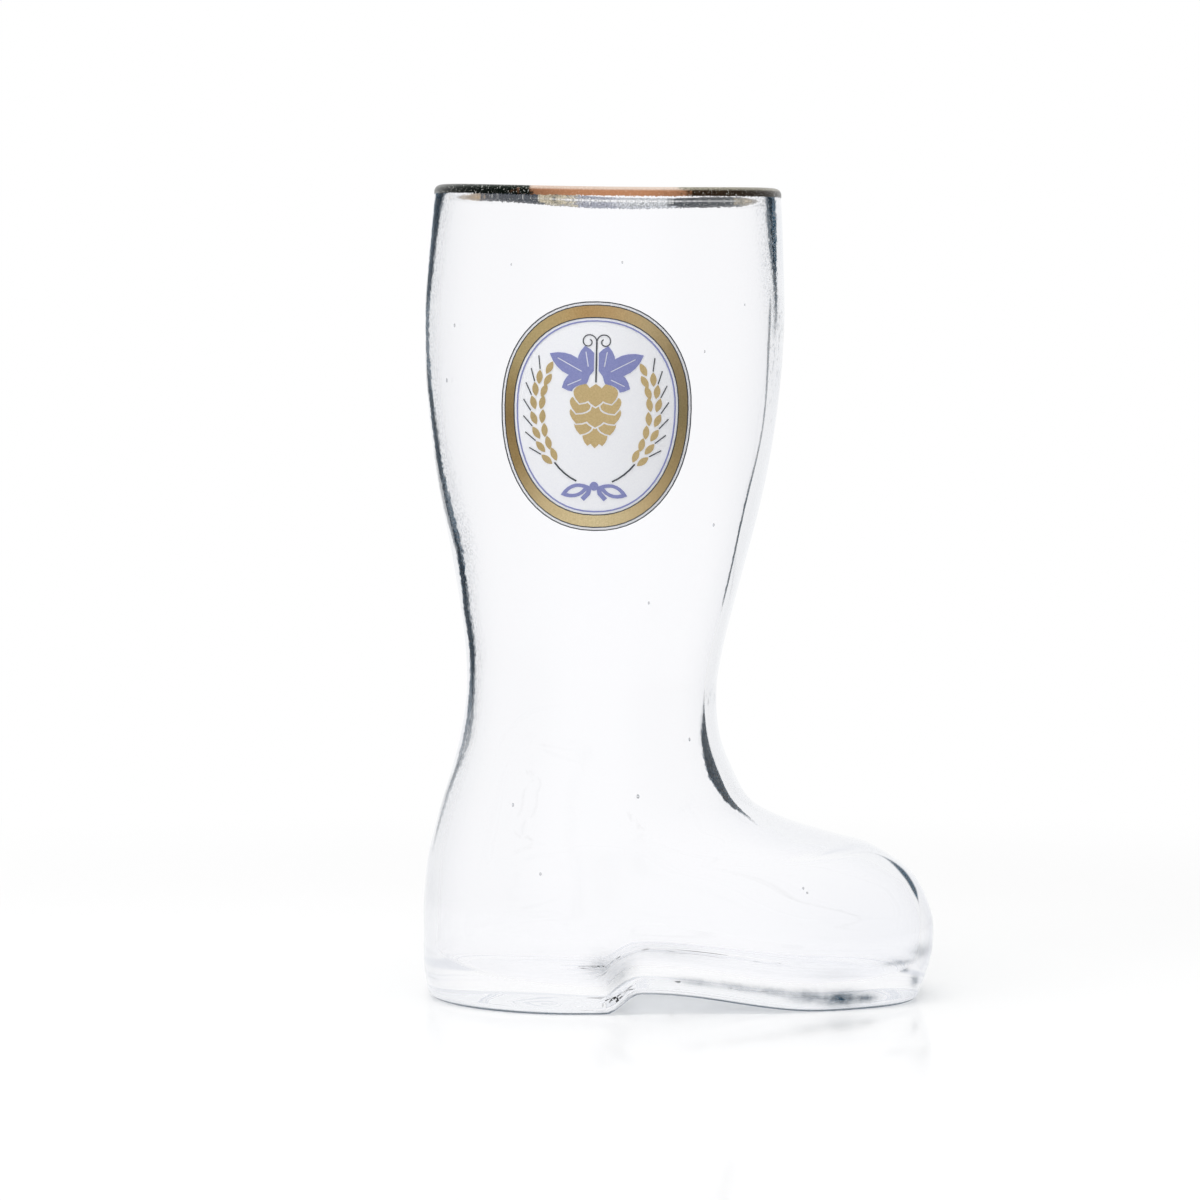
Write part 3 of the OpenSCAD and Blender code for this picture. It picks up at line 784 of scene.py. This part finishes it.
# %% Tables of the grey spots
outer_marks = [
    [4, 3.6, 7, 0.9, 0.55], [12, 3.8, 8, 1.0, 0.55], [20, 3.9, 8, 1.1, 0.60], [27, 3.4, 6, 1.7, 0.85],
    [34, 2.8, 6, 2.1, 1.15], [39, 2.6, 3.5, 1.3, 1.10], [47, 9.6, 5, 0.8, 0.60], [52, 11.0, 3, 1.8, 0.45],
    [50.5, 5.0, 1.1, 1.6, 0.85],
]
inner_marks = [[-16.5, 10, 4.0, 3.5, 0.38], [-13, 6.5, 4.0, 3.5, 0.42], [-3, 9.5, 12, 2.0, 0.18]]


def mark_strength(points, marks):
    """How dark the grey spots are at every point: nothing on the side away from the print."""
    p = np.asarray(points).reshape(-1, 3)
    x, h = p[:, 0] - boot_l / 2, p[:, 2] - arch_at(p[:, 0])
    strength = 0 * x
    for mark_x, mark_h, half_l, half_h, mark_dark in marks:
        spot = np.exp(-2 * (((x - mark_x) / half_l) ** 2 + ((h - mark_h) / half_h) ** 2))
        strength = np.maximum(strength, np.where(p[:, 1] < 0, mark_dark * spot, 0))
    return strength


print("chill marks:", len(outer_marks) + len(inner_marks))

# %% [markdown]
# ### Seeds
# Seeds are small air bubbles that stay in blown glass. Each one is a closed hollow inside the wall.
# The table holds its place along the boot, its height, its side (-1 towards the print) and its radius.

# %% Seeds
seeds = [
    [-48.2, 145.2, -1, 0.26], [-49.9, 133.1, -1, 0.30], [7.6, 103.5, -1, 0.24], [-45.0, 63.8, -1, 0.28],
    [2.7, 56.6, -1, 0.26], [-9.1, 45.9, -1, 0.30], [-36.0, 158.0, -1, 0.16], [14.5, 150.0, -1, 0.16],
    [-30.0, 30.0, -1, 0.22], [26.0, 27.0, -1, 0.20], [-22.0, 120.0, 1, 0.28], [-5.0, 84.0, 1, 0.24],
    [-38.0, 40.0, 1, 0.30], [8.0, 140.0, 1, 0.22], [30.0, 20.0, 1, 0.26], [-12.0, 160.0, 1, 0.20],
]
seed_depth = 1.3
seed_rows = 6
seed_columns = 10
seed_stretch = 1.5
skin_points = outer.reshape(-1, 3)
skin_inward = ring_normals(outer).reshape(-1, 3)


def seed_mesh(x, z, side, r, first):
    """Points and faces of one hollow, with its faces turned so that the air is outside the glass."""
    far = np.where(skin_points[:, 1] * side > 0, 0, np.inf)
    at = np.argmin((skin_points[:, 0] - boot_l / 2 - x) ** 2 + (skin_points[:, 2] - z) ** 2 + far)
    middle = skin_points[at] + skin_inward[at] * seed_depth
    points = [middle + [0, 0, r * seed_stretch]]
    for i in range(1, seed_rows):
        a = math.pi * i / seed_rows
        for k in range(seed_columns):
            b = 2 * math.pi * k / seed_columns
            ring_r = r * math.sin(a)
            rise = r * seed_stretch * math.cos(a)
            points.append(middle + [ring_r * math.cos(b), ring_r * math.sin(b), rise])
    points.append(middle - [0, 0, r * seed_stretch])
    last = first + len(points) - 1
    faces = []
    for k in range(seed_columns):
        j = (k + 1) % seed_columns
        faces.append((first, first + 1 + j, first + 1 + k))
        for i in range(seed_rows - 2):
            a = first + 1 + i * seed_columns
            faces.append((a + k, a + j, a + seed_columns + j, a + seed_columns + k))
        faces.append((last, last - seed_columns + k, last - seed_columns + j))
    return points, faces


print("seeds:", len(seeds))

# %% [markdown]
# ### The glass as one piece
# Outer skin, lip and inner skin join into one closed mesh, and the seeds are hollows in it. A
# renderer bends light rightly only in a closed wall whose faces all look out of the glass, so the cell
# counts open edges and measures the volume.

# %% Glass piece
ml = 1e6
skin = np.concatenate([np.array(lip)[::-1], outer])
first_inner = skin.shape[0] * around
points = np.concatenate([skin.reshape(-1, 3), inner.reshape(-1, 3)])
faces = tube_faces(skin.shape[0], 0) + end_strips((skin.shape[0] - 1) * around)
inside = tube_faces(inner.shape[0], first_inner) + end_strips(first_inner + (inner.shape[0] - 1) * around)
faces += [face[::-1] for face in inside]
faces += [(first_inner + k, k, (k + 1) % around, first_inner + (k + 1) % around) for k in range(around)]
seed_points = []
for seed in seeds:
    more_points, more_faces = seed_mesh(*seed, len(points) + len(seed_points))
    seed_points += more_points
    faces += more_faces
points = np.concatenate([points, seed_points])
glass_boot = make_mesh("glass_boot", centred(points), faces, glass)
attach(glass_boot, "root")
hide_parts("boot_glass")

lines = [edge_line(skin, heel_outer, toe_outer), edge_line(inner, no_line, toe_inner)]
lines = np.concatenate(lines + [np.tile(seed_line, (len(seed_points), 1))])
marks = [mark_strength(skin, outer_marks), mark_strength(inner, inner_marks), np.zeros(len(seed_points))]
marks = np.concatenate(marks)
attributes = glass_boot.data.attributes
attributes.new("edge_line", "FLOAT_VECTOR", "POINT").data.foreach_set("vector", lines.ravel())
attributes.new("low_grey_spot", "FLOAT", "POINT").data.foreach_set("value", marks)

check = bmesh.new()
check.from_mesh(glass_boot.data)
volume = round(check.calc_volume(signed=True) * ml, 1)
open_edges = sum(1 for edge in check.edges if not edge.is_manifold)
print("volume", volume, "ml, open edges", open_edges)
check.free()

# %% [markdown]
# ### Gilding
# The lip is dipped in liquid bright gold and fired. It wears first where lips and dishcloths touch
# it, so the copper-gold is thin, scratched and flecked, and its lower edge is torn.
#
# The tones follow the turn round the lip, from the heel's side by the print and back, and are a painted
# reflection: the film mirrors a room that is dark to the sides, so it is black there, copper over the
# print and pale round the back. Its upper face has a painted highlight of the white room, so the same
# film is paler there.

# %% Tones round the lip, a painted reflection
few_flecks = 0.2


def turn_ramp(material, turn, stops):
    """A colour ramp whose stops hold a turn in degrees, a colour and, if not 1, how much flecks show."""
    ramp = add_node(material, "ValToRGB", links={"Fac": turn})
    elements = ramp.color_ramp.elements
    while len(elements) < len(stops):
        elements.new(1.0)
    for element, (degrees, colour, *fleck) in zip(elements, stops):
        element.position = degrees / 360
        element.color = linear(colour, *fleck)
    return ramp


side_reflection_stops = [
    # painted reflection: black towards the heel, copper over the print, brown towards the toe
    [0, "#1C241F"], [60, "#1C241F"], [66, "#B98463", few_flecks], [112, "#C48D69", few_flecks],
    [118, "#4A3A2C"], [176, "#2E2A22"], [196, "#4C4438"],
    # buff, stone, slate, pale grey, lilac and straw round the back
    [201, "#B3A58E"], [212, "#8A8578"], [216, "#3E4348"], [242, "#3A4046"], [247, "#C9CCCF"],
    [266, "#C4C6CC"], [270, "#9DA0AE"], [281, "#A3A5B0"], [284, "#C2B8A0"], [292, "#BFB49A"],
    # slate and tan on the way to the heel
    [295, "#3B424B"], [324, "#3A4048"], [328, "#B39A78"], [342, "#A98F6C"], [352, "#1C241F"],
]
top_highlight_stops = [
    [0, "#2A332C"], [60, "#2A332C"], [67, "#E6CDBB"], [110, "#EBD9CB"], [118, "#B0AA98"],
    [176, "#8D897B"], [192, "#8D897B"], [200, "#F3F3F4"], [345, "#F3F3F4"], [355, "#2A332C"],
]
lip_axis = (shin_x + leg_l * math.sin(lean) - boot_l / 2) * mm
patch_size = 2.5
patch_shift = 0.02

gold_lip = new_material("liquid_bright_gold_worn_painted_reflection")
coords = add_node(gold_lip, "TexCoord")
parts = add_node(gold_lip, "SeparateXYZ", links={0: coords.outputs["Object"]})
across = add_node(gold_lip, "Math", {"operation": "SUBTRACT", 1: lip_axis}, {0: parts.outputs["X"]})
turn = add_node(gold_lip, "Math", {"operation": "ARCTAN2"}, {0: parts.outputs["Y"], 1: across})
patches = add_node(
    gold_lip, "TexNoise", {"Scale": 1 / (patch_size * mm), "Detail": 4.0, "Roughness": 0.6},
    {"Vector": coords.outputs["Object"]},
)
shift = add_node(
    gold_lip, "MapRange",
    {"From Min": 0.3, "From Max": 0.7, "To Min": -patch_shift, "To Max": patch_shift},
    {"Value": patches.outputs["Fac"]},
)
share = add_node(gold_lip, "MapRange", {"From Min": -math.pi, "From Max": math.pi}, {"Value": turn})
share = add_node(gold_lip, "Math", {"operation": "ADD"}, {0: share, 1: shift})
# painted reflection round the lip, with a painted highlight on its upper face
side_reflection = turn_ramp(gold_lip, share, side_reflection_stops)
top_highlight = turn_ramp(gold_lip, share, top_highlight_stops)
shape = add_node(gold_lip, "NewGeometry")
upward = add_node(gold_lip, "SeparateXYZ", links={0: shape.outputs["Normal"]})
top_side = add_node(
    gold_lip, "MapRange",
    {"interpolation_type": "SMOOTHSTEP", "From Min": 0.35, "From Max": 0.7}, {"Value": upward.outputs["Z"]},
)
film = add_node(
    gold_lip, "Mix", {"data_type": "RGBA"},
    {0: top_side, 6: side_reflection.outputs["Color"], 7: top_highlight.outputs["Color"]},
)
print("stops in the film's ramps:", len(side_reflection_stops), "on its side,", len(top_highlight_stops), "on top")

# %% [markdown]
# Flecks darken and lighten the film, and the largest are chips down to the pale glass. The attribute
# from_edge is 0 at the film's lower edges and 1 a little way in, so the flecks also tear the edge.

# %% Flecks, chips and torn edge
fleck_size = 0.35

flecks = add_node(
    gold_lip, "TexNoise", {"Scale": 1 / (fleck_size * mm), "Detail": 2.0},
    {"Vector": coords.outputs["Object"]},
)
fleck_tone = add_node(
    gold_lip, "MapRange", {"From Min": 0.35, "From Max": 0.65, "To Min": -0.5, "To Max": 0.35},
    {"Value": flecks.outputs["Fac"]},
)
fleck_tone = add_node(
    gold_lip, "Math", {"operation": "MULTIPLY_ADD", 2: 1.0},
    {0: fleck_tone, 1: side_reflection.outputs["Alpha"]},
)
worn = add_node(
    gold_lip, "VectorMath", {"operation": "SCALE"}, {0: film.outputs[2], "Scale": fleck_tone}
)
chips = add_node(
    gold_lip, "MapRange", {"From Min": 0.635, "From Max": 0.675}, {"Value": flecks.outputs["Fac"]}
)
chips = add_node(gold_lip, "Math", {"operation": "MULTIPLY"}, {0: chips, 1: side_reflection.outputs["Alpha"]})
chipped = add_node(gold_lip, "Mix", {"data_type": "RGBA", 7: linear("#E4E4DE")}, {0: chips, 6: worn})
metal = add_node(
    gold_lip, "BsdfPrincipled", {"Metallic": 1.0, "Roughness": 0.3}, {"Base Color": chipped.outputs[2]}
)
hem = add_node(gold_lip, "Attribute", {"attribute_name": "from_edge"})
torn = add_node(
    gold_lip, "MapRange", {"From Min": 0.35, "From Max": 0.65, "To Min": 0.05, "To Max": 0.9},
    {"Value": flecks.outputs["Fac"]},
)
left_on = add_node(gold_lip, "Math", {"operation": "GREATER_THAN"}, {0: hem.outputs["Fac"], 1: torn})
bare = add_node(gold_lip, "BsdfTransparent", {"Color": (1, 1, 1, 1)})
ragged = add_node(gold_lip, "MixShader", links={0: left_on, 1: bare, 2: metal})
finish_material(gold_lip, ragged)
print("nodes in the gilding:", len(gold_lip.node_tree.nodes))

# %% [markdown]
# The film itself is a thin skin over the lip. It goes further down outside the glass than inside, and
# its first ring is the hem where from_edge is 0.

# %% Gilding piece
gild_t = 0.05
gild_out = 2.1
gild_in = 1.75
gild_hem = 0.35
gild_steps = 16
gild_turns = [180 * i / gild_steps for i in range(gild_steps + 1)]
lip_centre = leg_l - lip_r

gild = [leg_points(lip_point(0, gild_t)[0], lip_centre - (gild_out - up - lip_r)) for up in (0, gild_hem)]
gild += [leg_points(*lip_point(turn, gild_t)) for turn in gild_turns]
gild += [leg_points(lip_point(180, gild_t)[0], lip_centre - (gild_in - lip_r))]
gild = np.array(gild)
gilding = make_mesh("lip_gilding", centred(gild.reshape(-1, 3)), tube_faces(len(gild), 0), gold_lip)
from_edge = np.ones((len(gild), around))
from_edge[[0, -1]] = 0
gilding.data.attributes.new("from_edge", "FLOAT", "POINT").data.foreach_set("value", from_edge.ravel())
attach(gilding, "root")
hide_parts("rim_gilding")

# %% [markdown]
# ### Print
# The print is ceramic enamel and gold, laid on as a transfer and fired into the glass. Enamel is
# coloured glass with a satin face, and each colour lies a hair proud of the ground. The packed
# layers already have the print's true shape, so they keep their meshes and only get their finishes.

# %% Enamels
enamel_grain = 0.3


def enamel(name, light, dark, metallic=0.0, roughness=0.35):
    """A fired colour that is a little uneven, with a fine grain."""
    material = new_material(name)
    place = add_node(material, "TexCoord")
    grain = add_node(
        material, "TexNoise", {"Scale": 1 / (enamel_grain * mm), "Detail": 3.0},
        {"Vector": place.outputs["Object"]},
    )
    ramp = add_node(material, "ValToRGB", links={"Fac": grain.outputs["Fac"]})
    ramp.color_ramp.elements[0].position = 0.3
    ramp.color_ramp.elements[0].color = linear(dark)
    ramp.color_ramp.elements[1].position = 0.7
    ramp.color_ramp.elements[1].color = linear(light)
    shader = add_node(
        material, "BsdfPrincipled", {"Metallic": metallic, "Roughness": roughness},
        {"Base Color": ramp.outputs["Color"]},
    )
    finish_material(material, shader)
    return material


white_enamel = enamel("white_fired_enamel", "#FAFBFE", "#F4F5FA")
dark_enamel = enamel("slate_fired_enamel", "#363B45", "#22262E")
blue_enamel = enamel("blue_fired_enamel", "#8E93C4", "#7C82B8")
pale_gold = enamel("burnished_gold_print", "#C8B283", "#B8A070", metallic=0.5, roughness=0.4)
ring_gold = enamel("fired_gold_ring", "#FFFFFF", "#E6E4DE", metallic=0.8, roughness=0.3)

finishes = {
    "print_ground": white_enamel,
    "print_gold_ring": ring_gold,
    "print_hairlines": dark_enamel,
    "print_blue_line": blue_enamel,
    "print_hop_cone": pale_gold,
    "print_hop_leaves": blue_enamel,
    "print_barley_ears": pale_gold,
    "print_barley_stalks": dark_enamel,
    "print_ribbon": blue_enamel,
}
for node, material in finishes.items():
    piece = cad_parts[node]
    piece.data.materials.clear()
    piece.data.materials.append(material)
print("print layers:", len(finishes))

# %% [markdown]
# The ring's gold carries a painted reflection of a room that is not even: the ring's material
# multiplies its grain by a colour ramp that follows the turn round its middle.

# %% Gold of the ring, with its painted reflection
# painted reflection: brown to the left and right, bright below and at the upper left, reddish on top
ring_reflection_stops = [
    [0, "#AA8E60"], [30, "#BA9E6C"], [58, "#D9C396"], [92, "#D6C59C"], [125, "#C3AB80"],
    [150, "#B29B6F"], [180, "#A19068"], [212, "#AC9770"], [240, "#C0AB82"], [262, "#BB9D70"],
    [276, "#B59463"], [300, "#CDB684"], [322, "#D6C18E"], [342, "#BCA270"], [360, "#AA8E60"],
]
ring_middle = [(low + high) / 2 for low, high in zip(*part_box("print_gold_ring"))]
ring_place = add_node(ring_gold, "TexCoord")
from_middle = add_node(
    ring_gold, "VectorMath", {"operation": "SUBTRACT", 1: ring_middle},
    {0: ring_place.outputs["Object"]},
)
ring_parts = add_node(ring_gold, "SeparateXYZ", links={0: from_middle})
ring_turn = add_node(
    ring_gold, "Math", {"operation": "ARCTAN2"},
    {0: ring_parts.outputs["Z"], 1: ring_parts.outputs["X"]},
)
ring_share = add_node(
    ring_gold, "MapRange", {"From Min": -math.pi, "From Max": math.pi}, {"Value": ring_turn}
)
# painted reflection round the ring
ring_reflection = turn_ramp(ring_gold, ring_share, ring_reflection_stops)
ring_shader = next(node for node in ring_gold.node_tree.nodes if node.type == "BSDF_PRINCIPLED")
ring_grain = ring_shader.inputs["Base Color"].links[0].from_socket
ring_tone = add_node(
    ring_gold, "Mix", {"data_type": "RGBA", "blend_type": "MULTIPLY", 0: 1.0},
    {6: ring_reflection.outputs["Color"], 7: ring_grain},
)
ring_gold.node_tree.links.new(ring_tone.outputs[2], ring_shader.inputs["Base Color"])
print("stops in the ring's ramp:", len(ring_reflection_stops))

# %% [markdown]
# ## Table, surroundings and lamps
# The photograph is a cut-out on white with a faint reflection, as on a table of white acrylic. The
# room decides how glass and gold look. A plain white room would leave them flat, so where they mirror
# it, the room and the table darken to the sides.

# %% What the sides take away
side_level = 0.5


def side_loss(material, sideways, rays):
    """How much light the sides lack, for rays that gold or the outside of the glass mirrors."""
    wings = add_node(
        material, "MapRange",
        {"interpolation_type": "SMOOTHSTEP", "From Min": 0.3, "From Max": 0.9,
         "To Min": 0.0, "To Max": 1 - side_level},
        {"Value": sideways},
    )
    mirrored = add_node(
        material, "Math", {"operation": "GREATER_THAN"},
        {0: rays.outputs["Is Glossy Ray"], 1: rays.outputs["Transmission Depth"]},
    )
    return add_node(material, "Math", {"operation": "MULTIPLY"}, {0: wings, 1: mirrored})


print("mirrored sides keep", side_level, "of the light")

# %% [markdown]
# ### Table
# Near the glass the table is a real surface: it takes the shadow and gives a weak, slightly soft
# reflection. Further away, and seen through the glass, it is as white as the room, so no edge shows.

# %% White acrylic table
table_glow = 0.06
table_gloss = 0.32
plain_from, plain_to = 120, 450
floor_half = 3000

floor = new_material("white_acrylic_table")
rays = add_node(floor, "LightPath")
seen = add_node(
    floor, "Math", {"operation": "MAXIMUM"},
    {0: rays.outputs["Is Camera Ray"], 1: rays.outputs["Is Glossy Ray"]},
)
lit = add_node(floor, "BsdfDiffuse", {"Color": linear("#E4E4E4")})
glow = add_node(floor, "Math", {"operation": "MULTIPLY", 1: table_glow}, {0: seen})
shine = add_node(floor, "Emission", {"Color": (1, 1, 1, 1)}, {"Strength": glow})
both = add_node(floor, "AddShader", links={0: lit, 1: shine})
gloss = add_node(floor, "BsdfGlossy", {"Color": (1, 1, 1, 1), "Roughness": 0.08})
top = add_node(floor, "MixShader", {0: table_gloss}, {1: both, 2: gloss})
table_place = add_node(floor, "TexCoord")
away = add_node(floor, "VectorMath", {"operation": "LENGTH"}, {0: table_place.outputs["Object"]})
far = add_node(
    floor, "MapRange",
    {"interpolation_type": "SMOOTHSTEP", "From Min": plain_from * mm, "From Max": plain_to * mm},
    {"Value": away.outputs["Value"]},
)
behind_glass = add_node(
    floor, "Math", {"operation": "MINIMUM", 1: 1.0}, {0: rays.outputs["Transmission Depth"]}
)
through = add_node(floor, "Math", {"operation": "MAXIMUM"}, {0: far, 1: behind_glass})
white_for = add_node(floor, "Math", {"operation": "MAXIMUM"}, {0: seen, 1: behind_glass})
table_parts = add_node(floor, "SeparateXYZ", links={0: table_place.outputs["Object"]})
aside = add_node(
    floor, "Math", {"operation": "DIVIDE"}, {0: table_parts.outputs["X"], 1: away.outputs["Value"]}
)
aside = add_node(floor, "Math", {"operation": "ABSOLUTE"}, {0: aside})
dim = side_loss(floor, aside, rays)
bright = add_node(floor, "Math", {"operation": "SUBTRACT"}, {0: white_for, 1: dim})
plain = add_node(floor, "Emission", {"Color": (1, 1, 1, 1)}, {"Strength": bright})
table_top = add_node(floor, "MixShader", links={0: through, 1: top, 2: plain})
finish_material(floor, table_top)

half = floor_half * mm
table_corners = [(-half, -half, 0), (half, -half, 0), (half, half, 0), (-half, half, 0)]
table = make_mesh("table", table_corners, [(0, 1, 2, 3)], floor)

# %% [markdown]
# ### Surroundings
# The world is the white room. It stays at strength 1 wherever it is seen, and gives the table less
# light than it shows, so that the lamps can still draw a shadow.

# %% White room
room_level = 0.55
world = bpy.data.worlds.new("studio")
scene.world = world
world.use_nodes = True
world.node_tree.nodes.clear()
ray = add_node(world, "LightPath")
way = add_node(world, "TexCoord")
way_parts = add_node(world, "SeparateXYZ", links={0: way.outputs["Generated"]})
sideways = add_node(world, "Math", {"operation": "ABSOLUTE"}, {0: way_parts.outputs["X"]})
dim = side_loss(world, sideways, ray)
soft = add_node(
    world, "Math", {"operation": "MULTIPLY", 1: 1 - room_level}, {0: ray.outputs["Is Diffuse Ray"]}
)
loss = add_node(world, "Math", {"operation": "ADD"}, {0: dim, 1: soft})
level = add_node(world, "Math", {"operation": "SUBTRACT", 0: 1.0}, {1: loss})
light = add_node(world, "Background", {"Color": (1, 1, 1, 1)}, {"Strength": level})
add_node(world, "OutputWorld", links={"Surface": light})
print("light from the room on the table:", room_level)

# %% [markdown]
# ### Lamps
# Three softboxes light the table and the print. They don't show in gold or glass, because the
# real ones stood outside what the glass mirrors. Places and sizes are in millimetres, power in watts.

# %% Lamps
softboxes = {
    "top_softbox": {"place": [-150, -200, 1100], "target": [0, 0, 80], "size": 900, "power": 9.0},
    "left_softbox": {"place": [-1000, -900, 700], "target": [0, 0, 90], "size": 600, "power": 3.0},
    "front_softbox": {"place": [-200, -1300, 400], "target": [0, 0, 120], "size": 600, "power": 3.5},
}
for name, box in softboxes.items():
    data = bpy.data.lights.new(name, "AREA")
    data.size = box["size"] * mm
    data.energy = box["power"]
    lamp = bpy.data.objects.new(name, data)
    lamp.location = [part * mm for part in box["place"]]
    way_in = np.array(box["target"]) - np.array(box["place"])
    flat = math.hypot(way_in[0], way_in[1])
    lamp.rotation_euler = [math.atan2(flat, -way_in[2]), 0, math.atan2(way_in[1], way_in[0]) - math.pi / 2]
    lamp.visible_glossy = False
    lamp.visible_transmission = False
    scene.collection.objects.link(lamp)
print("lamps:", ", ".join(softboxes))

# %% [markdown]
# ## Finish
# The view transform stays at Standard, so the colours come out as they are written.

# %% Finish
scene.view_settings.view_transform = "Standard"
